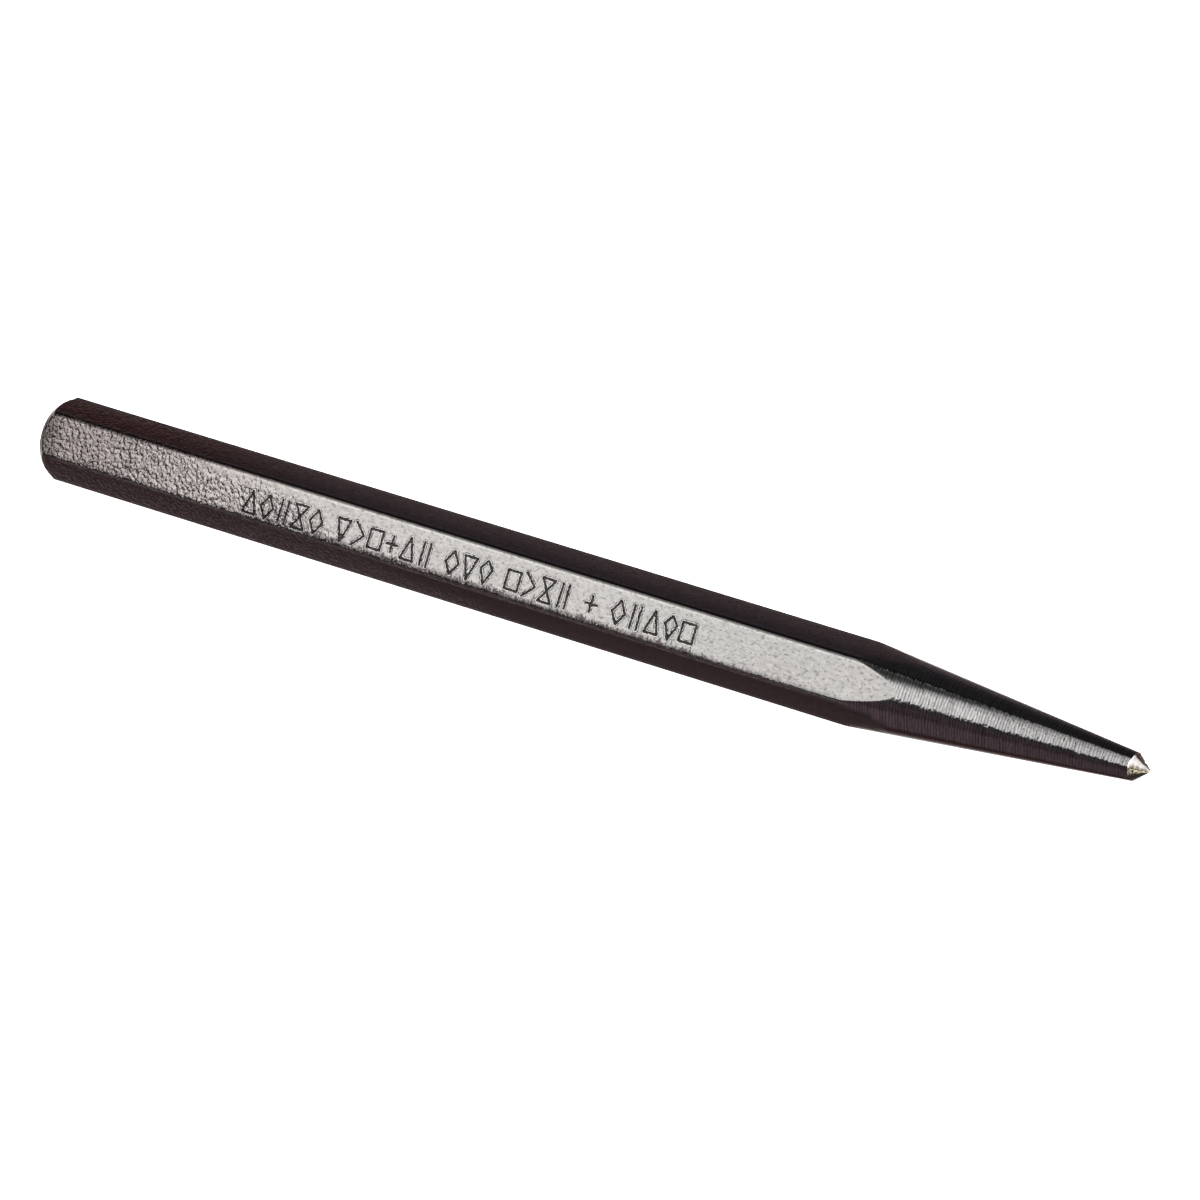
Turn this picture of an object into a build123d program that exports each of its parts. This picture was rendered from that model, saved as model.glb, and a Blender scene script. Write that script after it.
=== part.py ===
from build123d import *
import math
import os

# Center punch turned from hexagonal tool-steel bar.
# Millimetres. +X runs from the struck end to the point, +Z is up, and the punch
# lies on one flat of the bar. The origin is under the middle of its length.

# Bar stock
ACROSS_FLATS = 6.35
EDGE_RADIUS = 0.3
OVERALL_LENGTH = 101.6

# Struck end
STRUCK_FACE_DIAMETER = 5.1
STRUCK_CHAMFER_ANGLE = 45.0

# Turned taper
POINT_BASE_DIAMETER = 2.38
TAPER_HALF_ANGLE = 5.8

# Ground point
POINT_INCLUDED_ANGLE = 90.0
TIP_RADIUS = 0.12

# Radius of the turning where it clears the bar's edges
CLEARANCE_RADIUS = ACROSS_FLATS * 0.75

# Derived places along the bar, all measured from the middle of its length
half_length = OVERALL_LENGTH / 2
axis_height = ACROSS_FLATS / 2
struck_radius = STRUCK_FACE_DIAMETER / 2
base_radius = POINT_BASE_DIAMETER / 2
point_half_angle = math.radians(POINT_INCLUDED_ANGLE / 2)
chamfer_length = (CLEARANCE_RADIUS - struck_radius) / math.tan(math.radians(STRUCK_CHAMFER_ANGLE))
taper_length = (CLEARANCE_RADIUS - base_radius) / math.tan(math.radians(TAPER_HALF_ANGLE))

# The tip is a small ball, tangent to the ground cone
ball_centre = half_length - TIP_RADIUS
ball_tangent_x = ball_centre + TIP_RADIUS * math.sin(point_half_angle)
ball_tangent_r = TIP_RADIUS * math.cos(point_half_angle)
ball_middle_angle = (math.pi / 2 - point_half_angle) / 2
ball_middle_x = ball_centre + TIP_RADIUS * math.cos(ball_middle_angle)
ball_middle_r = TIP_RADIUS * math.sin(ball_middle_angle)
point_base_x = ball_tangent_x - (base_radius - ball_tangent_r) / math.tan(point_half_angle)

# Places in the profile's own plane: distance along the bar, then radius
struck_centre = (-half_length, 0)
struck_rim = (-half_length, struck_radius)
chamfer_end = (-half_length + chamfer_length, CLEARANCE_RADIUS)
taper_start = (point_base_x - taper_length, CLEARANCE_RADIUS)
point_base = (point_base_x, base_radius)
tip_tangent = (ball_tangent_x, ball_tangent_r)
tip_middle = (ball_middle_x, ball_middle_r)
tip_end = (half_length, 0)

# Outline of the turning and grinding, from the struck face round to the tip
outline = Polyline(struck_centre, struck_rim, chamfer_end, taper_start, point_base, tip_tangent)
tip_arc = ThreePointArc(tip_tangent, tip_middle, tip_end)
centre_line = Line(tip_end, struck_centre)
profile = make_face(outline + tip_arc + centre_line)

# Hexagonal bar, lying on a flat, with its long edges drawn to a small radius
corner_radius = ACROSS_FLATS / math.sqrt(3)
hexagon = RegularPolygon(radius=corner_radius, side_count=6, rotation=0)
rounded_hexagon = fillet(hexagon.vertices(), EDGE_RADIUS)
bar_section = Plane.YZ.offset(-half_length) * rounded_hexagon
bar = extrude(bar_section, amount=OVERALL_LENGTH)

# The turned solid cuts the chamfer, the taper and the point out of the bar
turned = revolve(Plane.XZ * profile, axis=Axis.X, revolution_arc=360)
punch = Pos(0, 0, axis_height) * (bar & turned)

# One piece of steel, parted where the blackened skin stops and bare steel starts
parting = Plane.YZ.offset(point_base_x)
punch_body = split(punch, bisect_by=parting, keep=Keep.BOTTOM)
ground_point = split(punch, bisect_by=parting, keep=Keep.TOP)

os.makedirs("parts", exist_ok=True)
for label, solid in (("punch_body", punch_body), ("ground_point", ground_point)):
    solid.label = label
    export_step(solid, f"parts/{label}.step")
    size = solid.bounding_box().size
    print(label, round(size.X, 3), round(size.Y, 3), round(size.Z, 3))
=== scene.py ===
import math

import bpy
import numpy as np
from mathutils import Matrix, Vector


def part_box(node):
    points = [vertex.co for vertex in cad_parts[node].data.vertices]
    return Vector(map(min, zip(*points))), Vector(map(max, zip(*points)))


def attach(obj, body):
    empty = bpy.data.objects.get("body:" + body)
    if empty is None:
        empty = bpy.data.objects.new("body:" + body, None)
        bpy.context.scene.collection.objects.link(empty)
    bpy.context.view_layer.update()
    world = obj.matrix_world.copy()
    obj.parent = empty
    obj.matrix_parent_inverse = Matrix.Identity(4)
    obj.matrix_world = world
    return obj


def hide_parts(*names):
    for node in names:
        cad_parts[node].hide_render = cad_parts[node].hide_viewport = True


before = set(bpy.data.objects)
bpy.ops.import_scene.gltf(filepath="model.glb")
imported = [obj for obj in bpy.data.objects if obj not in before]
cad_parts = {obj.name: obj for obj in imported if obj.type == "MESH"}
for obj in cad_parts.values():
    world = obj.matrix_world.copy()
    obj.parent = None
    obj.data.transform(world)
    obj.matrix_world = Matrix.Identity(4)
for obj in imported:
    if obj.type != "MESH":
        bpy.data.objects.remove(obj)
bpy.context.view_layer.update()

# Center punch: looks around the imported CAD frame. The mesh code works in millimetres
# and scales to metres when a mesh is made. +X runs from the struck end to the point.

MM = 0.001

# ---------------------------------------------------------------- sizes from the frame
body_low, body_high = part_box("punch_body")
point_low, point_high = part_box("ground_point")
X_HEAD = body_low.x / MM
X_BASE = body_high.x / MM
X_TIP = point_high.x / MM
APOTHEM = (body_high.z - body_low.z) / MM / 2
AXIS_Z = (body_high.z + body_low.z) / MM / 2
BASE_RADIUS = (point_high.y - point_low.y) / MM / 2

# ---------------------------------------------------------------- the punch's own shape
EDGE_RADIUS = 0.30
CROWN = 0.02              # how much a flat stands proud in its middle
SIX = math.pi / 3
HALF_FLAT = (APOTHEM - EDGE_RADIUS) * math.tan(SIX / 2)
FRONT_FLAT = 2            # flats count from the +Y side, 60 degrees apart, the third faces -Y and up
FRONT_STEPS = 56          # lengthwise strips on the stamped flat, on each other flat
OTHER_STEPS = 5
CORNER_STEPS = 5          # and round each corner
EDGE_ZONE = 0.35          # how far from its rounded edge a flat can be rubbed

FACE_RADIUS = 2.55        # the struck face, with a small rounding into its 45 degree chamfer
FACE_ROUNDING = 0.22
FACE_END = 0.154          # how far behind the face the rounding gives way to the chamfer
FACE_RINGS = (0.25, 0.5, 0.75, 0.9)
FACE_ARC = math.radians(45)
FACE_ARC_STEPS = 5
CHAMFER_SLOPE = 1.0
CHAMFER_SOFTNESS = 0.10
CHAMFER_ZONE = 2.2
CHAMFER_PITCH = 0.06

TAPER_SLOPE = math.tan(math.radians(5.88))
TAPER_START = X_BASE - (APOTHEM * 2 / math.sqrt(3) - BASE_RADIUS) / TAPER_SLOPE
TAPER_SOFTNESS = 0.03
TAPER_ZONE = (TAPER_START - 2.0, TAPER_START + 7.0)   # where the turning runs out into the flats
TAPER_ZONE_PITCH = 0.1
TAPER_PITCH = 0.25
TURNED_CUT = 0.02         # depth of cut over which a bar's surface counts as turned
RUN_OUT = (0.042, 0.10)   # how far the turning is off the bar's axis, where the taper starts and at the tip
RUN_OUT_ANGLE = SIX / 2 + FRONT_FLAT * SIX - math.pi / 2   # towards the front flat's upper edge
RING_PITCH = 0.25         # lathe feed on the taper
FACE_RING_PITCH = 0.32    # and on the struck face

GRIND_LOSS = 0.039        # how much grinding took off the radius where the taper ends
SKIN_END_ZONE = 1.0
SKIN_END_ROWS = 9
SKIN_END = 0.15           # how far back of the cone's base the black skin stops
SKIN_END_LEAN = 0.34      # and how much further on the side that it was ground on
TIP_BLUNT = 0.035
TIP_FACETS = 0.03
POINT_COLUMNS = 96
PLAIN_PITCH = 0.35


def around(angle):
    """Unit direction across the bar, at an angle from +Y towards +Z."""
    return (0.0, math.cos(angle), math.sin(angle))


def flat_angle(k):
    """Angle of a flat's normal about the bar, from +Y towards +Z."""
    return SIX / 2 + SIX * k


FRONT_OUT = around(flat_angle(FRONT_FLAT))
FRONT_ACROSS = around(flat_angle(FRONT_FLAT) - math.pi / 2)


def bar_columns():
    """(angle, radius, flat or -1, offset along the flat) of each lengthwise line of the bar's section."""
    arc_centre = (APOTHEM - EDGE_RADIUS) / math.cos(SIX / 2)
    columns = []
    for k in range(6):
        steps = FRONT_STEPS if k == FRONT_FLAT else OTHER_STEPS
        for i in range(steps + 1):
            w = HALF_FLAT * (2 * i / steps - 1)
            out = APOTHEM + CROWN * (1 - (w / HALF_FLAT) ** 2)
            columns.append((flat_angle(k) + math.atan2(w, out), math.hypot(out, w), k, w))
        for i in range(1, CORNER_STEPS):
            turn = SIX * i / CORNER_STEPS - SIX / 2
            along = arc_centre + EDGE_RADIUS * math.cos(turn)
            across = EDGE_RADIUS * math.sin(turn)
            angle = flat_angle(k) + SIX / 2 + math.atan2(across, along)
            columns.append((angle, math.hypot(along, across), -1, 0.0))
    return columns


def soft_min(a, b, k):
    """Smaller of two radii, with the meeting line eased over a radius difference of k."""
    h = np.clip(1 - np.abs(a - b) / k, 0, 1)
    return np.minimum(a, b) - h * h * k / 4


def spaced(start, stop, pitch):
    count = max(1, round((stop - start) / pitch))
    return list(np.linspace(start, stop, count + 1)[:-1])


# ---------------------------------------------------------------- abstract stamped row
STROKE = 0.088            # half width of a stamped stroke
STROKE_DEPTH = 0.09
LIP_HEIGHT = 0.015
GROOVE_REACH = 1.3        # these three in half widths of a stroke
LIP_PLACE = 1.9
LIP_WIDTH = 0.9
GLYPH_HEIGHT = 1.95
GLYPH_WIDTH = 1.18
GLYPH_PITCH = 1.57
GROUP_GAP = 0.95
ROW_START = X_HEAD + 20.55
ROW_SHIFT = (-0.49, -0.17)   # the row's middle off the flat's middle, at its start and its end
ROW_MARGIN = 0.4
ROW_PITCH = 0.08
FAR = 1.0                 # stands for any distance from the nearest stroke of this much or more

GLYPHS = {
    "twin": [[(0.25, 0), (0.25, 1)], [(0.75, 0), (0.75, 1)]],
    "diamond": [[(0.5, 0), (1, 0.5), (0.5, 1), (0, 0.5), (0.5, 0)]],
    "square": [[(0, 0.1), (1, 0.1), (1, 0.9), (0, 0.9), (0, 0.1)]],
    "kite": [[(0.5, 0), (0.95, 0.65), (0.5, 1), (0.05, 0.65), (0.5, 0)]],
    "peak": [[(0, 0.05), (1, 0.05), (0.5, 1), (0, 0.05)]],
    "funnel": [[(0, 0.95), (1, 0.95), (0.5, 0), (0, 0.95)]],
    "arrow": [[(0.1, 0), (0.9, 0.5), (0.1, 1)]],
    "glass": [[(0, 0), (1, 0), (0, 1), (1, 1), (0, 0)]],
    "cross": [[(0.5, 0.15), (0.5, 0.85)], [(0.05, 0.5), (0.95, 0.5)]],
}
ROW = [
    ["peak", "diamond", "twin", "glass", "diamond"],
    ["funnel", "arrow", "square", "cross", "peak", "twin"],
    ["diamond", "funnel", "kite"],
    ["square", "arrow", "glass", "twin"],
    ["cross"],
    ["diamond", "twin", "peak", "kite", "square"],
]


def stroke_segments():
    """Ends of every stamped stroke, as (x, w) pairs on the front flat, and where the row ends."""
    count = sum(len(group) for group in ROW)
    segments = []
    x = ROW_START
    done = 0
    for group in ROW:
        for name in group:
            middle = ROW_SHIFT[0] + (ROW_SHIFT[1] - ROW_SHIFT[0]) * done / count
            for line in GLYPHS[name]:
                spots = [(x + u * GLYPH_WIDTH, middle + (v - 0.5) * GLYPH_HEIGHT) for u, v in line]
                segments += zip(spots[:-1], spots[1:])
            x += GLYPH_PITCH
            done += 1
        x += GROUP_GAP
    return segments, x - GROUP_GAP


SEGMENTS, ROW_END = stroke_segments()


def stroke_distance(x, w):
    """Distance from points on the front flat to the nearest stamped stroke."""
    best = np.full(x.shape, FAR)
    for (x0, w0), (x1, w1) in SEGMENTS:
        ex, ew = x1 - x0, w1 - w0
        t = np.clip(((x - x0) * ex + (w - w0) * ew) / (ex * ex + ew * ew), 0, 1)
        best = np.minimum(best, np.hypot(x - x0 - t * ex, w - w0 - t * ew))
    return best


# ---------------------------------------------------------------- mesh of the punch's body
def base_edge(angle):
    """Where the black skin stops: hand ground, so it reaches further up the side it was held on."""
    lean = np.clip(np.cos(angle - flat_angle(FRONT_FLAT) + 0.15), 0, 1) ** 2
    waver = 0.05 * np.sin(3 * angle + 1.0) + 0.03 * np.sin(7 * angle)
    return X_BASE - SKIN_END - SKIN_END_LEAN * lean + waver


def off_axis(x):
    """How far the turning's centre is off the bar's axis at x, towards the front flat's upper edge."""
    share = np.clip((x - TAPER_START) / (X_TIP - TAPER_START), 0, 1)
    return RUN_OUT[0] + (RUN_OUT[1] - RUN_OUT[0]) * share


def turned_radius(x, angle):
    """Distance from the bar's axis to the turned taper, which is a little off that axis."""
    radius = BASE_RADIUS - GRIND_LOSS + (X_BASE - x) * TAPER_SLOPE
    shift = off_axis(x) * np.cos(angle - RUN_OUT_ANGLE)
    return shift + np.sqrt(np.maximum(radius ** 2 - off_axis(x) ** 2 + shift ** 2, 0))


def body_rows():
    """Places along the bar of the rings of its mesh, closer together where there is more to show."""
    chamfer_end = X_HEAD + CHAMFER_ZONE
    row_start = ROW_START - ROW_MARGIN
    skin_end = X_BASE - SKIN_END_ZONE
    rows = spaced(X_HEAD + FACE_END, chamfer_end, CHAMFER_PITCH)
    rows += spaced(chamfer_end, row_start, PLAIN_PITCH)
    rows += spaced(row_start, ROW_END, ROW_PITCH)
    rows += spaced(ROW_END, TAPER_ZONE[0], PLAIN_PITCH)
    rows += spaced(TAPER_ZONE[0], TAPER_ZONE[1], TAPER_ZONE_PITCH)
    rows += spaced(TAPER_ZONE[1], skin_end, TAPER_PITCH)
    return np.array(rows + list(np.linspace(skin_end, X_BASE, SKIN_END_ROWS)))


def face_profile():
    """(x, radius) of the struck face's rings: a flat disc, then a small rounding into the chamfer."""
    flat_radius = FACE_RADIUS - FACE_ROUNDING
    profile = [(X_HEAD, flat_radius * share) for share in FACE_RINGS]
    for i in range(FACE_ARC_STEPS):
        turn = FACE_ARC * i / FACE_ARC_STEPS
        x = X_HEAD + FACE_ROUNDING * (1 - math.cos(turn))
        profile.append((x, flat_radius + FACE_ROUNDING * math.sin(turn)))
    return np.array(profile)


def stamp(distance, y, z):
    """Sink the stamped strokes into the front flat and raise their lips."""
    groove = np.clip(1 - distance / (STROKE * GROOVE_REACH), 0, 1)
    lip = np.clip(1 - np.abs(distance - STROKE * LIP_PLACE) / (STROKE * LIP_WIDTH), 0, 1)
    sink = np.where(distance < FAR, groove * STROKE_DEPTH - lip * LIP_HEIGHT, 0)
    return y - sink * FRONT_OUT[1], z - sink * FRONT_OUT[2]


def build_body():
    columns = bar_columns()
    angle = np.array([c[0] for c in columns])
    bar = np.array([c[1] for c in columns])
    flat = np.array([c[2] for c in columns])
    offset = np.array([c[3] for c in columns])
    x = np.repeat(body_rows()[:, None], len(columns), axis=1)
    ease = np.clip((x - X_BASE) / SKIN_END_ZONE + 1, 0, 1)
    x = x + ease * (base_edge(angle)[None] - X_BASE)

    turned = turned_radius(x, angle[None])
    chamfer = FACE_RADIUS + CHAMFER_SLOPE * (x - X_HEAD)
    radius = soft_min(np.broadcast_to(bar, x.shape), turned, TAPER_SOFTNESS)
    radius = soft_min(radius, chamfer, CHAMFER_SOFTNESS)
    cut = np.maximum(bar[None] - turned, bar[None] - chamfer)
    turned_share = np.clip(cut / TURNED_CUT + 0.5, 0, 1)

    on_front = np.broadcast_to(flat == FRONT_FLAT, x.shape) & (turned_share < 0.01)
    distance = np.where(on_front, stroke_distance(x, -np.broadcast_to(offset, x.shape)), FAR)
    y, z = stamp(distance, radius * np.cos(angle)[None], radius * np.sin(angle)[None])
    near_edge = np.where(flat < 0, 1.0, np.clip(1 - (HALF_FLAT - np.abs(offset)) / EDGE_ZONE, 0, 1))
    edge = np.broadcast_to(near_edge, x.shape) * (1 - turned_share)

    face = face_profile()
    face_x = face[:, :1] + 0 * angle[None]
    ones = np.ones_like(face_x)
    fields = {
        "turned": np.vstack([ones, turned_share]),
        "mark": np.vstack([FAR * ones, distance]),
        "edge": np.vstack([0 * ones, edge]),
    }
    x = np.vstack([face_x, x])
    y = np.vstack([face[:, 1:] * np.cos(angle)[None], y])
    z = np.vstack([face[:, 1:] * np.sin(angle)[None], z])
    return grid_mesh("punch_shank", x, y, z, fields)


def grid_mesh(name, x, y, z, fields):
    """Mesh from a grid of rings, closed by a middle point at each end, with named per-point values."""
    rows, cols = x.shape
    co = np.stack([x, y, z + AXIS_Z], axis=2).reshape(-1, 3)
    ends = np.array([co[:cols].mean(0), co[-cols:].mean(0)])
    co = np.vstack([co, ends]) * MM
    index = np.arange(rows * cols).reshape(rows, cols)
    after = np.roll(index, -1, axis=1)
    quads = np.stack([index[:-1], index[1:], after[1:], after[:-1]], axis=2).reshape(-1, 4)
    first, last = rows * cols, rows * cols + 1
    faces = quads.tolist()
    faces += [(first, a, b) for a, b in zip(index[0].tolist(), after[0].tolist())]
    faces += [(last, b, a) for a, b in zip(index[-1].tolist(), after[-1].tolist())]
    mesh = bpy.data.meshes.new(name)
    mesh.from_pydata(co.tolist(), [], faces)
    mesh.polygons.foreach_set("use_smooth", [True] * len(mesh.polygons))
    for field, values in fields.items():
        layer = mesh.attributes.new(field, "FLOAT", "POINT")
        flat_values = values.reshape(-1)
        closing = [flat_values[0], flat_values[-1]]
        layer.data.foreach_set("value", np.append(flat_values, closing).astype(np.float32))
    mesh.validate()
    mesh.update()
    piece = bpy.data.objects.new(name, mesh)
    bpy.context.scene.collection.objects.link(piece)
    return piece


# ---------------------------------------------------------------- mesh of the ground point
def build_point():
    angle = np.linspace(0, 2 * math.pi, POINT_COLUMNS, endpoint=False)
    start = base_edge(angle)
    base = turned_radius(start, angle)
    tip_y = RUN_OUT[1] * math.cos(RUN_OUT_ANGLE)
    tip_z = RUN_OUT[1] * math.sin(RUN_OUT_ANGLE)
    xs, ys, zs = [], [], []
    for share in list(np.linspace(0, 0.9, 22)) + [0.93, 0.955, 0.975, 0.99]:
        blunt = TIP_BLUNT / 2 * share ** 12
        facet = 1 + TIP_FACETS * np.sin(5 * angle + 0.7) * share * (1 - share) * 4
        radius = base * (1 - share) * facet
        xs.append(start + (X_TIP - start) * (share - blunt))
        ys.append(tip_y * share + radius * np.cos(angle))
        zs.append(tip_z * share + radius * np.sin(angle))
    return grid_mesh("point_cone", np.array(xs), np.array(ys), np.array(zs), {})


# ---------------------------------------------------------------- where the punch's skin changes
# A span is (from, to) in mm: along the bar from its middle, up from the bench, up the front flat from
# its middle line, or out from the bar's axis square to that flat. A turn is the height of a point of
# the taper or the ground point over its radius, seen square to the front flat: 1 is the upper edge and
# -1 the lower edge.
FALL = (1.0, 0.0)
BAR_TOP = 2 * AXIS_Z
ON_FRONT_FLAT = (APOTHEM - 0.25, APOTHEM - 0.10)
ON_TOP_FLAT = (BAR_TOP - 0.15, BAR_TOP - 0.06)
LOWER_FACES = (3.1, 2.9)            # heights where the faces that look down begin, and where they take a painted shade colour
LOW_SHADE_HEIGHTS = (3.3, 2.9)
LOW_REFLECTION_SIDE = (2.5, 0.6)               # and where a painted reflection of the bench makes them paler towards it
BROWN_REFLECTION_SIDE = (-1.2, 1.8)            # across the top flat, towards its far side
PALE_REFLECTION_SIDE = (-1.7, 1.8)
STRUCK_FACE = (X_HEAD + 0.05, X_HEAD + 0.30)
TAPER_SIDE = (0.0, 1.0)             # tells the taper from the turned struck end

GRAIN_END = (-38.0, -26.0)          # pebbly grain gives way to satin
SATIN_GRAIN = 0.07
GRAIN_DRIFT = 12.0
GRAIN_SLANT = 4.5                   # how much further along it ends, for each mm down the side
LOW_GRAIN = (1.0, 0.72)
GRAIN_DEPTH = 0.062
PEBBLE_SCALE = 3.3
LEATHER_SCALE = 3.2
LIT_FROM = 0.10                     # painted light: a pebble's painted lit side is where it is higher this far down the flat

BORDER_IN = (-36.0, -29.0)          # a ragged border of grain along the front flat's lower edge
BORDER_OUT = (20.0, 27.0)
BORDER_CLIMB = (-30.0, 24.0)
BORDER_HEIGHT = (-1.80, -1.22)
BORDER_GRAIN = 1.3
NEAR_FRONT_FLAT = (APOTHEM - 0.5, APOTHEM - 0.2)

FRINGE_IN = (-34.0, -24.0)          # spikes of bare pits that reach up from that edge
FRINGE_OUT = (13.0, 22.0)
FRINGE_HEIGHT = (-1.66, -1.52)
FRINGE_FOOT = (-1.82, -1.72)

LOWER_EDGE = (-1.42, -1.70)         # the front flat darkens towards its lower edge
LOWER_EDGE_FOOT = (-1.82, -1.74)
HIGHLIGHT_LINE = ((1.42, 1.52), (1.61, 1.67))
DARK_REFLECTION_LINE = (1.60, 1.67)
RUBBED_EDGES = (APOTHEM - 0.05, APOTHEM - 0.01)
LINE_NEAR_FRONT = (APOTHEM - 0.15, APOTHEM - 0.05)
LINE_ROUND_CORNER = (APOTHEM - 0.375, APOTHEM - 0.225)
STRUCK_RIM = (X_HEAD + 0.5, X_HEAD + 3.0)
SHEEN_START = (-47.0, -30.0)
SHEEN_END = (-5.0, 20.0)
RED_REFLECTION_END = (-42.0, -22.0)
REDDISH_END = (-50.0, -10.0)

DARK_BAND = (0.21, 0.36)            # turns: the painted shade band over the taper's bright streak starts, and ends
DARK_BAND_END = (0.44, 0.60)
DARK_BAND_CLIMB = (29.0, 42.0)      # it climbs towards the point, and weakens
DARK_BAND_FADE = (30.0, 44.0)
STREAK_HIGHLIGHT = ((0.30, 0.42), (0.50, 0.62))
STREAK_HIGHLIGHT_REACH = (36.0, 45.0)
UPPER_SIDE = (0.50, 0.62)
UPPER_RIM = (0.86, 0.98)
LOWER_RIM = (-0.78, -0.88)
LOW_TURN = (-0.12, -0.30)
FEED_FADE = (24.0, 48.0)

# turns of the ground point, where it has painted shade: a dark patch, a dark strip and a dark underside
POINT_FRONT = (-0.15, 0.05)
SHADED_PATCH_TURN = (-12.50, -11.98)       # of the turn less a quarter of the place along the bar
SHADED_PATCH_SLANT = -0.25
DARK_TURN = (-0.66, -0.32)
SHADED_STRIP_TURN = ((0.70, 0.78), (0.97, 1.0))


def rgb(r, g, b):
    return (r, g, b, 1.0)


# ---------------------------------------------------------------- colours of the steel
BLACK_OXIDE = rgb(0.0218, 0.0192, 0.0187)       # the bar's skin, redder near the struck end
BLACK_OXIDE_FAR = rgb(0.0222, 0.0220, 0.0214)
SHADED_LOW_OXIDE = rgb(0.0099, 0.0073, 0.0086)         # painted shade: a darker copy of the skin on the faces that look down
SHADED_LOW_OXIDE_FAR = rgb(0.0127, 0.0107, 0.0116)
RED_REFLECTION = rgb(0.0240, 0.0072, 0.0052)
BROWN_REFLECTION = rgb(0.0235, 0.0195, 0.0170)
SPECK = rgb(0.004, 0.003, 0.003)
LIP_HIGHLIGHT = rgb(0.039, 0.0382, 0.0373)                # painted highlight beside a stamped stroke, and painted shade in it
GROOVE_SHADE = rgb(0.0025, 0.002, 0.002)
TURNED_OXIDE = rgb(0.0180, 0.0179, 0.0180)      # the taper, and its underside, tinted redder as a painted reflection
LOW_TURNED_REFLECTION = rgb(0.0218, 0.0154, 0.0174)
DUST = rgb(0.30, 0.26, 0.24)
EDGE_ON_TINT = rgb(0.54, 0.51, 0.505)           # of what the skin reflects at a slant
STEEL = rgb(0.90, 0.94, 0.84)                   # the ground point, cleaner and duller
DULL_STEEL = rgb(0.68, 0.68, 0.59)
SHADED_STRIP = rgb(0.020, 0.014, 0.013)                 # painted shade on the point: a dark strip and a dark patch, each with the scratches in it
SCRATCHED_SHADED_STRIP = rgb(0.13, 0.10, 0.085)
SHADED_PATCH = rgb(0.030, 0.024, 0.016)
SCRATCHED_SHADED_PATCH = rgb(0.37, 0.335, 0.25)
SHADED_UNDERSIDE = rgb(0.013, 0.0095, 0.0085)


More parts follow.
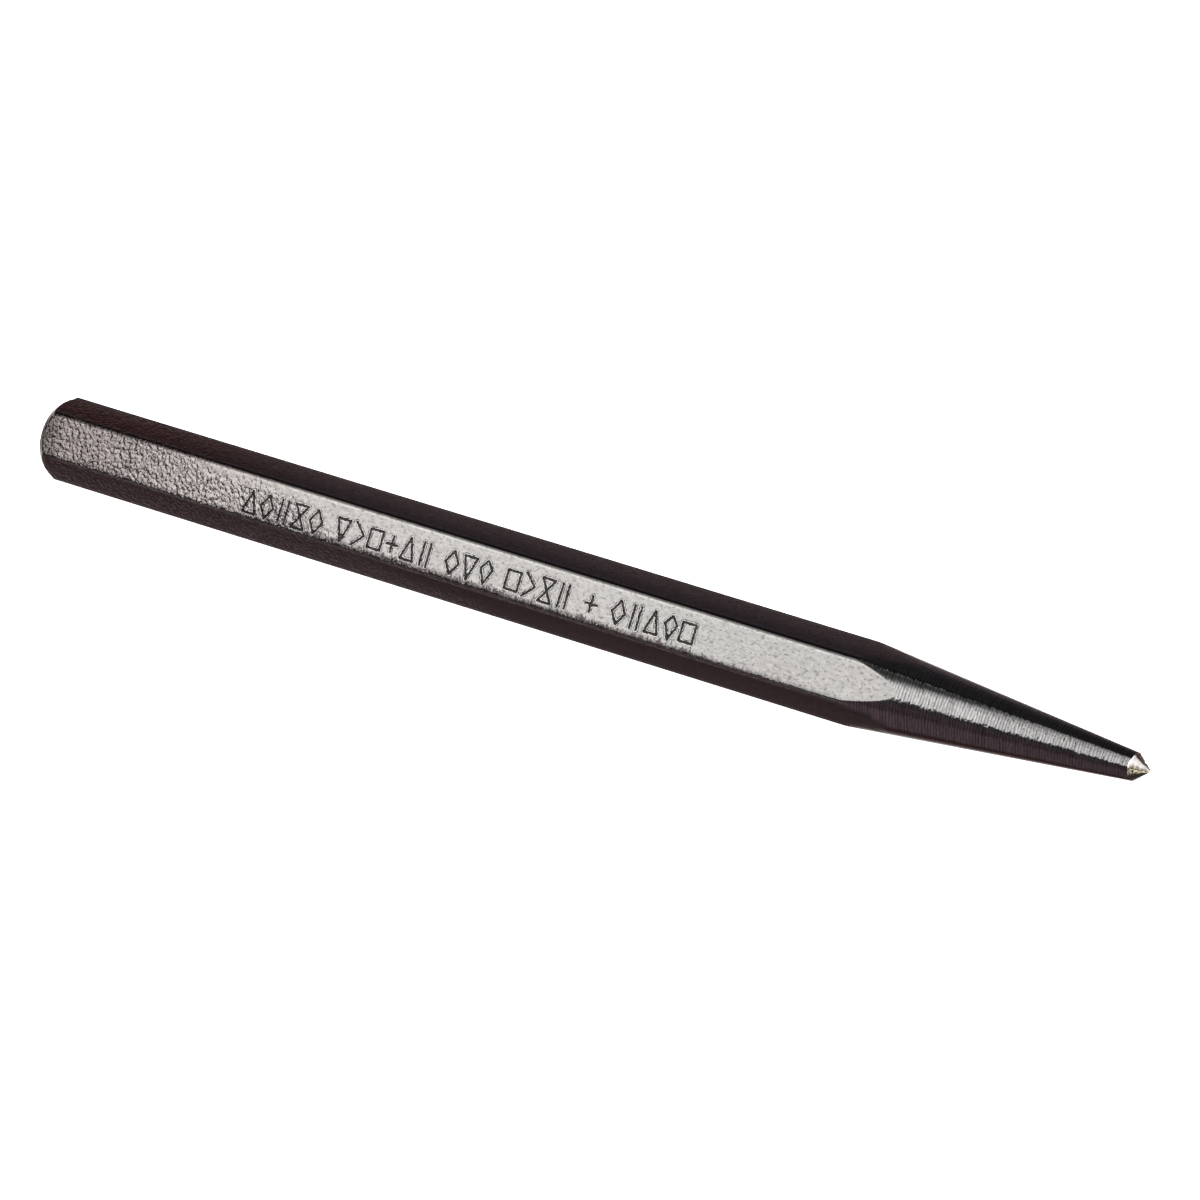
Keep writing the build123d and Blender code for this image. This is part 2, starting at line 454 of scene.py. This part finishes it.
# ---------------------------------------------------------------- material graphs
class Graph:
    """A material's node tree, with one short call for each kind of node it uses."""

    def __init__(self, name):
        self.material = bpy.data.materials.new(name)
        self.material.use_nodes = True
        self.tree = self.material.node_tree
        self.shader = self.tree.nodes["Principled BSDF"]
        self.mm = self.scaled(self.new("ShaderNodeTexCoord").outputs["Object"], 1 / MM)
        self.x, self.y, self.z = self.split(self.mm)

    def new(self, kind):
        return self.tree.nodes.new(kind)

    def put(self, socket, value):
        if isinstance(value, bpy.types.NodeSocket):
            self.tree.links.new(value, socket)
        else:
            socket.default_value = value

    def surface(self, name, value):
        """Set one of the shader's sockets."""
        self.put(self.shader.inputs[name], value)

    def math(self, operation, a, b=0.0, clamp=False):
        node = self.new("ShaderNodeMath")
        node.operation = operation
        node.use_clamp = clamp
        self.put(node.inputs[0], a)
        self.put(node.inputs[1], b)
        return node.outputs[0]

    def times(self, first, *others):
        for other in others:
            first = self.math("MULTIPLY", first, other)
        return first

    def plus(self, first, *others):
        for other in others:
            first = self.math("ADD", first, other)
        return first

    def minus(self, a, b):
        return self.math("SUBTRACT", a, b)

    def swing(self, noise, size):
        """A noise centred on nothing, times a size."""
        return self.times(self.minus(noise, 0.5), size)

    def vector_node(self, operation, a, b):
        node = self.new("ShaderNodeVectorMath")
        node.operation = operation
        self.put(node.inputs[0], a)
        self.put(node.inputs[1], b)
        return node

    def vector(self, operation, a, b):
        return self.vector_node(operation, a, b).outputs["Vector"]

    def dot(self, a, b):
        return self.vector_node("DOT_PRODUCT", a, b).outputs["Value"]

    def length(self, a):
        return self.vector_node("LENGTH", a, (0, 0, 0)).outputs["Value"]

    def scaled(self, a, factor):
        node = self.vector_node("SCALE", a, (0, 0, 0))
        self.put(node.inputs["Scale"], factor)
        return node.outputs["Vector"]

    def stretched(self, x, y, z):
        """Place in mm, times a factor each way, so that a noise over it is stretched."""
        return self.vector("MULTIPLY", self.mm, (x, y, z))

    def split(self, vector):
        node = self.new("ShaderNodeSeparateXYZ")
        self.put(node.inputs[0], vector)
        return node.outputs

    def noise_node(self, vector, scale, detail, rough):
        node = self.new("ShaderNodeTexNoise")
        self.put(node.inputs["Vector"], vector)
        node.inputs["Scale"].default_value = scale
        node.inputs["Detail"].default_value = detail
        node.inputs["Roughness"].default_value = rough
        return node

    def noise(self, vector, scale, detail=2.0, rough=0.5):
        return self.noise_node(vector, scale, detail, rough).outputs["Fac"]

    def noise_vector(self, vector, scale):
        colour = self.noise_node(vector, scale, 1.0, 0.5).outputs["Color"]
        return self.vector("SUBTRACT", colour, (0.5, 0.5, 0.5))

    def cells(self, vector, scale, smooth=None):
        """Distance to the nearest of scattered points, sharp or smoothed."""
        node = self.new("ShaderNodeTexVoronoi")
        node.feature = "F1" if smooth is None else "SMOOTH_F1"
        self.put(node.inputs["Vector"], vector)
        node.inputs["Scale"].default_value = scale
        if smooth is not None:
            node.inputs["Smoothness"].default_value = smooth
        return node.outputs["Distance"]

    def ramp(self, value, span, to=(0.0, 1.0), soft=True):
        """Value's place in a span, carried over to another span and held at both ends."""
        node = self.new("ShaderNodeMapRange")
        node.interpolation_type = "SMOOTHSTEP" if soft else "LINEAR"
        self.put(node.inputs["Value"], value)
        node.inputs["From Min"].default_value, node.inputs["From Max"].default_value = span
        node.inputs["To Min"].default_value, node.inputs["To Max"].default_value = to
        return node.outputs["Result"]

    def band(self, value, rise, fall):
        return self.times(self.ramp(value, rise), self.ramp(value, fall, FALL))

    def mix(self, factor, a, b):
        """Colour between a and b."""
        node = self.new("ShaderNodeMix")
        node.data_type = "RGBA"
        self.put(node.inputs["Factor"], factor)
        self.put(node.inputs[6], a)
        self.put(node.inputs[7], b)
        return node.outputs[2]

    def blend(self, factor, a, b):
        """Number between a and b."""
        node = self.new("ShaderNodeMix")
        node.data_type = "FLOAT"
        self.put(node.inputs["Factor"], factor)
        self.put(node.inputs[2], a)
        self.put(node.inputs[3], b)
        return node.outputs[0]

    def field(self, name):
        node = self.new("ShaderNodeAttribute")
        node.attribute_name = name
        return node.outputs["Fac"]

    def bump(self, height, depth, after=None):
        """Surface relief: a height of 1 stands out by a depth in millimetres."""
        node = self.new("ShaderNodeBump")
        node.inputs["Strength"].default_value = 1.0
        node.inputs["Distance"].default_value = depth * MM
        self.put(node.inputs["Height"], height)
        if after is not None:
            self.put(node.inputs["Normal"], after)
        return node.outputs["Normal"]


class PunchGraph(Graph):
    """Material of the punch: a metal, with places about the bar's axis and the front flat."""

    def __init__(self, name):
        super().__init__(name)
        self.centred = self.vector("SUBTRACT", self.mm, (0, 0, AXIS_Z))
        self.across = self.dot(self.centred, FRONT_ACROSS)
        self.out = self.dot(self.centred, FRONT_OUT)
        self.radius = self.length(self.vector("MULTIPLY", self.centred, (0, 1, 1)))
        self.surface("Metallic", 1.0)

    def turn_over(self, reach):
        return self.math("DIVIDE", self.across, reach)


class BlackOxide(PunchGraph):
    """The blackened skin: drawn bar, stamped row, turned taper and struck end."""

    def __init__(self):
        super().__init__("black_oxide_steel")
        self.turned = self.field("turned")
        self.flats = self.minus(1.0, self.turned)
        self.edge = self.field("edge")
        self.fine = self.noise(self.mm, 4.2, 1.0)
        self.leather = self.noise(self.mm, LEATHER_SCALE, 1.0)
        self.on_front = self.ramp(self.out, ON_FRONT_FLAT)
        self.on_top = self.times(self.ramp(self.z, ON_TOP_FLAT), self.minus(1.0, self.edge))
        self.tapered = self.ramp(self.x, TAPER_SIDE)
        self.struck = self.ramp(self.x, STRUCK_FACE, FALL)
        self.reach = self.plus(self.radius, 0.01)
        self.find_grain()
        self.find_stamp()
        self.find_rings()
        self.surface("Normal", self.relief())
        self.surface("Base Color", self.colour())
        self.surface("Roughness", self.roughness())
        self.surface("Specular Tint", EDGE_ON_TINT)

    def find_grain(self):
        """Pebbly near the struck end, and in a ragged border that runs on under the stamped row."""
        drift = self.swing(self.noise(self.mm, 0.16), GRAIN_DRIFT)
        slant = self.times(self.minus(BAR_TOP, self.z), GRAIN_SLANT)
        along = self.minus(self.plus(self.x, drift), slant)
        grain = self.ramp(along, GRAIN_END, (1.0, SATIN_GRAIN))
        ragged = self.swing(self.noise(self.mm, 1.6, 3.0, 0.65), 1.1)
        climb = self.ramp(self.x, BORDER_CLIMB, (-0.30, 0.30), soft=False)
        border = self.ramp(self.plus(self.across, ragged, climb), BORDER_HEIGHT, FALL)
        border = self.times(border, self.ramp(self.out, NEAR_FRONT_FLAT))
        self.border = self.times(border, self.band(self.x, BORDER_IN, BORDER_OUT))
        grain = self.math("MAXIMUM", grain, self.times(self.border, BORDER_GRAIN))
        self.grain = self.times(grain, self.flats, self.ramp(self.z, LOWER_FACES, LOW_GRAIN))

    def find_stamp(self):
        """Grooves of the stamped row, a little uneven, and the lips pushed up beside them."""
        distance = self.plus(self.field("mark"), self.swing(self.fine, 0.16))
        self.groove = self.ramp(distance, (STROKE * 0.65, STROKE * 1.05), FALL)
        from_lip = self.math("ABSOLUTE", self.minus(distance, STROKE * LIP_PLACE))
        self.lip = self.ramp(from_lip, (0.0, STROKE * 0.8), FALL)

    def find_rings(self):
        """Lathe rings round the taper, and facing rings and hammer dents on the struck face."""
        waver = self.noise(self.stretched(1.2, 0.5, 0.5), 1.0)
        feed = self.times(self.x, 2 * math.pi / RING_PITCH)
        self.wave = self.math("SINE", self.plus(feed, self.times(waver, 9.0)))
        self.facing = self.math("SINE", self.times(self.reach, 2 * math.pi / FACE_RING_PITCH))
        self.dents = self.noise(self.mm, 1.3, 3.0, 0.6)

    def relief(self):
        wander = self.scaled(self.noise_vector(self.mm, 2.6), 0.24)
        pebble = self.cells(self.vector("ADD", self.mm, wander), PEBBLE_SCALE, 0.25)
        pebbles = self.minus(self.times(self.leather, 1.4), self.times(pebble, 0.5))
        pebbles = self.plus(pebbles, self.times(self.fine, 0.6))
        normal = self.bump(self.times(pebbles, self.grain), GRAIN_DEPTH)
        satin = self.noise(self.stretched(0.6, 1.0, 1.0), 4.5, 1.0)
        normal = self.bump(self.times(satin, self.flats), 0.007, normal)

        ring = self.noise(self.stretched(3.4, 0.4, 0.4), 1.0, 1.0, 0.4)
        tear = self.noise(self.stretched(4.4, 3.0, 3.0), 1.0, 1.0, 0.4)
        rings = self.plus(self.times(self.wave, 0.0016), self.times(ring, 0.014), self.times(tear, 0.024))
        face = self.plus(self.times(self.facing, 0.004), self.times(self.dents, 0.10))
        turning = self.plus(self.times(rings, self.turned), self.times(face, self.struck))
        normal = self.bump(turning, 1.0, normal)
        return self.bump(self.minus(self.times(self.lip, 0.35), self.groove), 0.05, normal)

    def colour(self):
        flats = self.scaled(self.flat_tint(), self.blend(self.turned, self.flat_shade(), 1.0))
        flats = self.mix(self.times(self.specks(), self.flats, 0.7), flats, SPECK)
        # painted highlight on the lips beside the strokes, and painted shade in the grooves
        flats = self.mix(self.times(self.lip, 0.7), flats, LIP_HIGHLIGHT)
        flats = self.mix(self.times(self.groove, 0.92), flats, GROOVE_SHADE)
        skin = self.mix(self.turned, flats, self.turned_colour())
        dust = self.ramp(self.cells(self.mm, 0.22), (0.008, 0.012), FALL)
        return self.mix(self.times(dust, 0.5), skin, DUST)

    def flat_tint(self):
        """Redder near the struck end, with a painted reddish reflection on top there and a painted brown
        reflection along the top flat's far side.
        """
        redness = self.times(self.noise(self.mm, 0.10, 3.0), 0.3)
        tone = self.math("ADD", self.ramp(self.x, REDDISH_END, (0.0, 0.8)), redness, clamp=True)
        skin = self.mix(tone, BLACK_OXIDE, BLACK_OXIDE_FAR)
        # painted reflection: the top flat is tinted red near the struck end
        painted_red_reflection = self.times(self.on_top, self.ramp(self.x, RED_REFLECTION_END, FALL))
        skin = self.mix(self.times(painted_red_reflection, 0.58), skin, RED_REFLECTION)
        # painted reflection: the top flat is tinted brown towards its far side
        painted_brown_reflection = self.times(self.on_top, self.ramp(self.y, BROWN_REFLECTION_SIDE, (0.0, 0.6)))
        skin = self.mix(painted_brown_reflection, skin, BROWN_REFLECTION)
        # painted shade: the faces that look down take a darker, more purple copy of the skin colour
        painted_low_shade = self.mix(tone, SHADED_LOW_OXIDE, SHADED_LOW_OXIDE_FAR)
        return self.mix(self.ramp(self.z, LOW_SHADE_HEIGHTS), skin, painted_low_shade)

    def flat_shade(self):
        """How much paler or darker than its tint the bar's skin is, from place to place, with painted
        reflections, highlights and shade among it.
        """
        brushed = self.noise(self.stretched(0.55, 1.0, 1.0), 4.0, 4.0, 0.7)
        shade = self.ramp(brushed, (0.30, 0.70), (0.76, 1.20), soft=False)
        # painted reflection: the faces that look down are painted paler towards the bench
        painted_floor_reflection = self.ramp(self.z, LOW_REFLECTION_SIDE, (0.80, 1.06))
        shade = self.times(shade, self.blend(self.ramp(self.z, LOWER_FACES), 1.0, painted_floor_reflection))
        # painted reflection: the top flat is painted paler towards its far side
        painted_pale_reflection = self.ramp(self.y, PALE_REFLECTION_SIDE, (0.78, 1.50))
        shade = self.times(shade, self.blend(self.on_top, 1.0, painted_pale_reflection))

        # long edges: rubbed pale, except the front flat's upper edge, which has a painted highlight line
        # with a painted dark reflection line beyond
        painted_dark_line = self.times(self.ramp(self.across, DARK_REFLECTION_LINE), self.ramp(self.out, LINE_ROUND_CORNER))
        rubbed = self.times(self.edge, self.edge, self.ramp(self.out, RUBBED_EDGES, FALL))
        rubbed = self.times(rubbed, self.ramp(self.fine, (0.35, 0.60), (0.55, 1.25)))
        rubbed = self.times(rubbed, self.minus(1.0, painted_dark_line))
        shade = self.times(shade, self.plus(1.0, self.times(rubbed, 0.9)))
        painted_highlight_line = self.times(self.band(self.across, *HIGHLIGHT_LINE), self.ramp(self.out, LINE_NEAR_FRONT))
        painted_highlight_line = self.times(painted_highlight_line, self.math("SUBTRACT", 1.0, self.grain, clamp=True))
        shade = self.times(shade, self.plus(1.0, self.times(painted_highlight_line, 0.25)))
        frayed = self.plus(self.across, self.swing(self.fine, 0.90))
        lower_edge = self.ramp(frayed, LOWER_EDGE, (0.0, 0.36), soft=False)
        lower_edge = self.times(lower_edge, self.ramp(self.across, LOWER_EDGE_FOOT), self.on_front)
        shade = self.times(shade, self.minus(1.0, lower_edge))

        # painted light: the front flat is painted a little darker towards both ends, and each pebble has a
        # painted lit side
        painted_sheen = self.times(
            self.ramp(self.x, SHEEN_START, (0.70, 0.93)),
            self.ramp(self.x, SHEEN_END, (1.0, 0.94)),
            self.ramp(self.x, STRUCK_RIM, (0.45, 1.0)),
        )
        shade = self.times(shade, self.blend(self.on_front, 1.0, painted_sheen))
        lower = self.vector("ADD", self.mm, tuple(-LIT_FROM * part for part in FRONT_ACROSS))
        slope = self.minus(self.noise(lower, LEATHER_SCALE, 1.0), self.leather)
        painted_pebble_light = self.ramp(slope, (-0.10, 0.10), (0.72, 1.34), soft=False)
        shade = self.times(shade, self.blend(self.grain, 1.0, painted_pebble_light))
        return self.times(shade, self.minus(1.0, self.times(painted_dark_line, 0.6)))

    def specks(self):
        """Dark specks all over the flats, and denser pits and spikes along the front flat's lower edge."""
        speck = self.ramp(self.noise(self.stretched(0.7, 1.0, 1.0), 5.0, 1.0, 0.6), (0.585, 0.66))
        pits = self.ramp(self.plus(self.fine, self.times(self.border, 0.10)), (0.54, 0.60))
        spiky = self.swing(self.noise(self.stretched(3.6, 1.3, 1.3), 1.0, 2.0, 0.6), 2.6)
        height = self.plus(self.across, spiky, self.swing(self.fine, 0.8))
        fringe = self.times(self.ramp(height, FRINGE_HEIGHT, FALL), self.band(self.x, FRINGE_IN, FRINGE_OUT))
        fringe = self.times(fringe, self.on_front, self.ramp(self.across, FRINGE_FOOT))
        pits = self.math("MAXIMUM", self.times(pits, self.border), self.times(fringe, 1.2))
        return self.math("MAXIMUM", self.times(speck, 0.65), pits)

    def turned_colour(self):
        """Bright and dark lathe rings, painted shade and painted highlights round the taper, and the worn
        struck face.
        """
        streaky = self.noise(self.stretched(4.5, 0.7, 0.7), 1.0, 1.0)
        rings = self.plus(self.times(self.wave, 2.0), self.times(streaky, 6.0))
        shade = self.ramp(rings, (0.6, 5.4), (0.64, 1.38), soft=False)
        shade = self.times(shade, self.ramp(self.x, FEED_FADE, (1.04, 0.80), soft=False))
        crumb = self.noise(self.stretched(1.0, 0.7, 0.7), 5.0, 2.0, 0.6)
        shade = self.times(shade, self.ramp(crumb, (0.32, 0.68), (0.80, 1.20), soft=False))

        turn = self.turn_over(self.reach)
        # painted shade: a dark band over the taper's streak, and one along its lower rim
        climb = self.ramp(self.x, DARK_BAND_CLIMB, (0.0, 0.22), soft=False)
        painted_dark_band = self.ramp(self.plus(self.minus(turn, climb), self.swing(crumb, 0.20)), DARK_BAND)
        painted_dark_band = self.times(painted_dark_band, self.ramp(turn, DARK_BAND_END, (0.84, 0.0)))
        painted_dark_band = self.times(painted_dark_band, self.ramp(self.x, DARK_BAND_FADE, (1.0, 0.84)))
        painted_dark_band = self.plus(painted_dark_band, self.ramp(turn, LOWER_RIM, (0.0, 0.62)))
        painted_dark_band = self.times(painted_dark_band, self.ramp(self.out, (0.0, 0.3)))
        shade = self.times(shade, self.minus(1.0, self.times(painted_dark_band, self.tapered)))
        # painted highlight: the top of the taper's streak is brightened towards the point
        painted_streak_highlight = self.band(turn, *STREAK_HIGHLIGHT)
        painted_streak_highlight = self.times(painted_streak_highlight, self.ramp(self.x, STREAK_HIGHLIGHT_REACH, (0.0, 0.34)))
        shade = self.plus(shade, painted_streak_highlight)
        # painted highlight: the taper's upper side and upper rim are painted brighter
        painted_rim_highlight = self.times(self.ramp(turn, UPPER_SIDE, (1.0, 1.22)), self.ramp(turn, UPPER_RIM, (1.0, 2.2)))
        shade = self.times(shade, self.blend(self.tapered, 1.0, painted_rim_highlight))

        worn = self.ramp(self.facing, (-1.0, 1.0), (0.82, 1.18))
        worn = self.times(worn, self.ramp(self.dents, (0.45, 0.62), (0.85, 2.2)))
        chamfer = self.ramp(self.tapered, (0.0, 1.0), (0.5, 1.0))
        shade = self.times(shade, self.blend(self.struck, chamfer, worn))
        # painted reflection: the taper's underside is tinted redder
        painted_underside_tint = self.times(self.ramp(turn, LOW_TURN), self.tapered)
        return self.scaled(self.mix(painted_underside_tint, TURNED_OXIDE, LOW_TURNED_REFLECTION), shade)

    def roughness(self):
        rough = self.plus(self.blend(self.turned, 0.17, 0.14), self.swing(self.fine, 0.10))
        rough = self.plus(rough, self.times(self.grain, 0.06))
        return self.math("ADD", rough, self.times(self.groove, 0.15), clamp=True)


class GroundSteel(PunchGraph):
    """The bare ground point: grinding rings, and painted shade in a dark patch, a dark strip and a dark
    underside.
    """

    def __init__(self):
        super().__init__("ground_steel")
        ring = self.noise(self.stretched(7.0, 1.2, 1.2), 1.0, 3.0, 0.6)
        scratch = self.noise(self.stretched(1.5, 9.0, 9.0), 1.0, 2.0, 0.6)
        self.surface("Normal", self.bump(self.plus(self.times(ring, 0.7), self.times(scratch, 0.3)), 0.030))
        self.surface("Roughness", self.ramp(ring, (0.3, 0.7), (0.26, 0.42)))

        turn = self.plus(self.turn_over(self.plus(self.radius, 0.02)), self.swing(ring, 0.5))
        front = self.ramp(self.out, POINT_FRONT)
        slanted = self.plus(turn, self.times(self.x, SHADED_PATCH_SLANT))
        steel = self.mix(self.noise(self.mm, 1.6, 3.0), STEEL, DULL_STEEL)
        # painted shade: a dark strip, a dark patch and a dark underside on the point
        painted_strip_shade = self.mix(self.ramp(scratch, (0.42, 0.62)), SHADED_STRIP, SCRATCHED_SHADED_STRIP)
        steel = self.mix(self.times(self.band(turn, *SHADED_STRIP_TURN), front), steel, painted_strip_shade)
        painted_patch_shade = self.mix(self.ramp(scratch, (0.40, 0.58)), SHADED_PATCH, SCRATCHED_SHADED_PATCH)
        steel = self.mix(self.times(self.ramp(slanted, SHADED_PATCH_TURN, FALL), front), steel, painted_patch_shade)
        painted_underside_shade = self.times(self.ramp(turn, DARK_TURN, FALL), front)
        self.surface("Base Color", self.mix(painted_underside_shade, steel, SHADED_UNDERSIDE))


# ---------------------------------------------------------------- camera
AZIMUTH = math.radians(26.64)
ELEVATION = math.radians(28.32)
ROLL = math.radians(3.75)
LENS = 180.8
SENSOR = 36.0
CLIP = (0.01, 50.0)
DISTANCE = 0.4914
SHIFT_X = 0.0160
SHIFT_Y = -0.0025


def make_camera():
    back = Vector((
        math.sin(AZIMUTH) * math.cos(ELEVATION),
        -math.cos(AZIMUTH) * math.cos(ELEVATION),
        math.sin(ELEVATION),
    ))
    level = Vector((math.cos(AZIMUTH), math.sin(AZIMUTH), 0))
    upright = back.cross(level)
    right = level * math.cos(ROLL) + upright * math.sin(ROLL)
    up = upright * math.cos(ROLL) - level * math.sin(ROLL)
    aim = Vector(((X_HEAD + X_TIP) / 2, 0, AXIS_Z)) * MM
    data = bpy.data.cameras.new("camera")
    data.lens = LENS
    data.sensor_width = SENSOR
    data.shift_x = SHIFT_X
    data.shift_y = SHIFT_Y
    data.clip_start, data.clip_end = CLIP
    camera = bpy.data.objects.new("camera", data)
    place = Matrix((right, up, back)).transposed().to_4x4()
    place.translation = aim + back * DISTANCE
    camera.matrix_world = place
    bpy.context.scene.collection.objects.link(camera)
    bpy.context.scene.camera = camera


# ---------------------------------------------------------------- stage and light
FLOOR_HALF = 2.5
FLOOR_DROP = 0.00004
FLOOR_ALBEDO = 0.25
FLOOR_MOTTLE = 0.01
FLOOR_COLOUR = (1.0, 0.985, 0.99)
GLOW_NEAR = 1.15          # painted light: the floor's own glow beside the punch, which hides its shadow there, far from it, and more near its edge, so that no horizon shows
GLOW_FAR = 0.32           # so that no horizon shows
GLOW_EDGE = 0.16
NEAR_IN = (-13.0, -7.0)   # spans in mm from the punch's middle, across it and along it
NEAR_OUT = (30.0, 60.0)
NEAR_ENDS = (60.0, 90.0)
FAR_AWAY = (300.0, 1200.0)
FLOOR_EDGE = (1300.0, 2300.0)
KEY_SIDE = math.radians(-18.5)      # the softbox lies along the punch, towards the struck end
KEY_LOW = math.radians(16.0)        # the softbox's lower edge, seen square to the punch
KEY_TOPS = (55.0, 70.0, 85.0)       # it is brightest in front and fades towards the top, in three steps
KEY_WIDTH = 3.05
KEY_DISTANCE = 4.0
KEY_RADIANCE = 30.0
KEY_COLOUR = (1.0, 0.985, 0.97)
SKY = (
    (0.00, (1.02, 1.00, 1.00)),
    (0.25, (1.02, 1.00, 1.00)),
    (0.38, (1.63, 1.37, 1.55)),
    (0.46, (1.20, 1.04, 1.24)),
    (0.56, (0.85, 0.75, 0.90)),
    (0.85, (0.50, 0.47, 0.50)),
)


def glowing_pale_floor():
    g = Graph("glowing_pale_floor")
    albedo = (FLOOR_ALBEDO - FLOOR_MOTTLE, FLOOR_ALBEDO + FLOOR_MOTTLE)
    level = g.ramp(g.noise(g.mm, 0.02, 3.0), (0.0, 1.0), albedo)
    paper = g.new("ShaderNodeCombineColor")
    for socket in paper.inputs:
        g.put(socket, level)
    g.surface("Base Color", paper.outputs["Color"])
    # painted light: the floor glows, brightest beside the punch
    beside = g.band(g.y, NEAR_IN, NEAR_OUT)
    beside = g.times(beside, g.ramp(g.math("ABSOLUTE", g.x), NEAR_ENDS, FALL))
    distance = g.length(g.mm)
    away = g.ramp(distance, FAR_AWAY, (0.0, GLOW_FAR))
    away = g.plus(away, g.ramp(distance, FLOOR_EDGE, (0.0, GLOW_EDGE)))
    g.surface("Emission Strength", g.plus(g.times(beside, GLOW_NEAR), away))
    g.surface("Emission Color", rgb(*FLOOR_COLOUR))
    g.surface("Roughness", 0.9)
    g.surface("Specular IOR Level", 0.2)
    return g.material


def make_stage():
    mesh = bpy.data.meshes.new("floor")
    h = FLOOR_HALF
    mesh.from_pydata([(-h, -h, 0), (h, -h, 0), (h, h, 0), (-h, h, 0)], [], [(0, 1, 2, 3)])
    floor = bpy.data.objects.new("floor", mesh)
    floor.location = (0, 0, -FLOOR_DROP)
    bpy.context.scene.collection.objects.link(floor)
    floor.data.materials.append(glowing_pale_floor())


def make_softbox(top):
    """One layer of the softbox, from its lower edge up to an angle seen square to the punch."""
    middle = (KEY_LOW + top) / 2
    toward = Vector((
        math.sin(KEY_SIDE),
        -math.cos(KEY_SIDE) * math.cos(middle),
        math.cos(KEY_SIDE) * math.sin(middle),
    ))
    upward = Vector((0, math.sin(middle), math.cos(middle)))
    height = 2 * KEY_DISTANCE * math.tan((top - KEY_LOW) / 2)
    data = bpy.data.lights.new("softbox", "AREA")
    data.shape = "RECTANGLE"
    data.size = KEY_WIDTH
    data.size_y = height
    data.energy = KEY_RADIANCE / len(KEY_TOPS) * math.pi * KEY_WIDTH * height
    data.color = KEY_COLOUR
    lamp = bpy.data.objects.new("softbox", data)
    place = Matrix((upward.cross(toward), upward, toward)).transposed().to_4x4()
    place.translation = toward * KEY_DISTANCE
    lamp.matrix_world = place
    lamp.visible_camera = False
    bpy.context.scene.collection.objects.link(lamp)


def make_tent():
    """Soft light from all round, by height: pale at eye level, dimmer overhead."""
    world = bpy.data.worlds.new("tent")
    world.use_nodes = True
    tree = world.node_tree
    place = tree.nodes.new("ShaderNodeTexCoord")
    split = tree.nodes.new("ShaderNodeSeparateXYZ")
    tree.links.new(place.outputs["Generated"], split.inputs[0])
    ramp = tree.nodes.new("ShaderNodeValToRGB")
    tree.links.new(split.outputs["Z"], ramp.inputs["Fac"])
    elements = ramp.color_ramp.elements
    while len(elements) < len(SKY):
        elements.new(0.5)
    brightest = max(max(level) for spot, level in SKY)
    for element, (spot, level) in zip(elements, SKY):
        element.position = spot
        element.color = (*(part / brightest for part in level), 1)
    backdrop = tree.nodes["Background"]
    backdrop.inputs["Strength"].default_value = brightest
    tree.links.new(ramp.outputs["Color"], backdrop.inputs["Color"])
    bpy.context.scene.world = world


# ---------------------------------------------------------------- put together
make_camera()
make_stage()
for top in KEY_TOPS:
    make_softbox(math.radians(top))
make_tent()
bpy.context.scene.view_settings.view_transform = "Standard"

shank = build_body()
shank.data.materials.append(BlackOxide().material)
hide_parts("punch_body")
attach(shank, "root")

cone = build_point()
cone.data.materials.append(GroundSteel().material)
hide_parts("ground_point")
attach(cone, "root")
